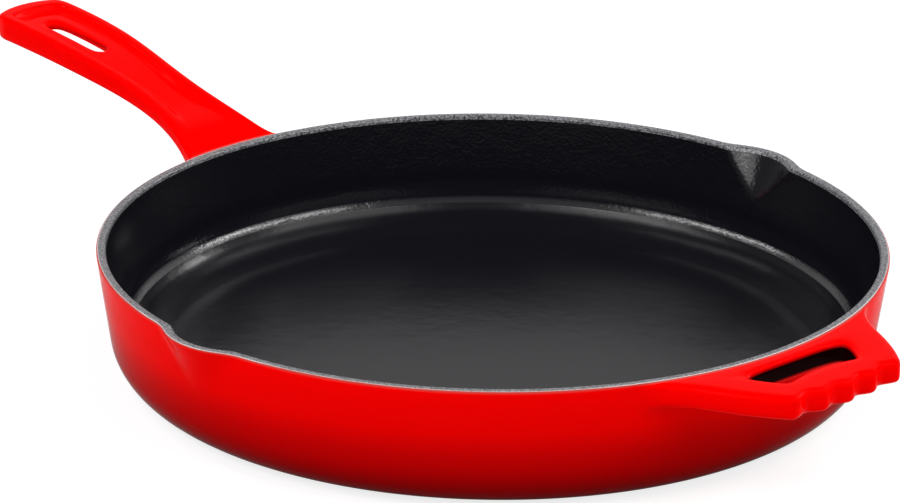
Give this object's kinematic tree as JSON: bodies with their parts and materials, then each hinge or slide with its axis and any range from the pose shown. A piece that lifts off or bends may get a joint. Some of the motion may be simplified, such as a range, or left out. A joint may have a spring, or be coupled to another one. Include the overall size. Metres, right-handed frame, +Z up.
{
  "type": "skillet",
  "caption": "Round cast iron frying pan in red and black enamel, with pouring spouts, a long slotted handle and a helper handle.",
  "frame": {"origin": "centre of the flat base, on the face that the pan stands on", "axes": "+Z up through the rim, +X along the long handle; the two spouts lie on +Y and -Y"},
  "size_m": [0.475, 0.316, 0.0776],
  "materials": {
    "cast_iron": "as cast, sand grain",
    "black_enamel": "satin black vitreous enamel with a fine pebble",
    "ground_coat": "matte grainy grey ground coat",
    "red_enamel": "gloss red vitreous enamel"
  },
  "bodies": {
    "root": {"pan_casting": "cast_iron", "long_handle_casting": "cast_iron", "helper_handle_casting": "cast_iron", "interior_enamel": "black_enamel", "rim_ground_coat": "ground_coat", "wall_enamel": "red_enamel", "base_enamel": "red_enamel", "long_handle_enamel": "red_enamel", "helper_handle_enamel": "red_enamel"}
  },
  "joints": []
}
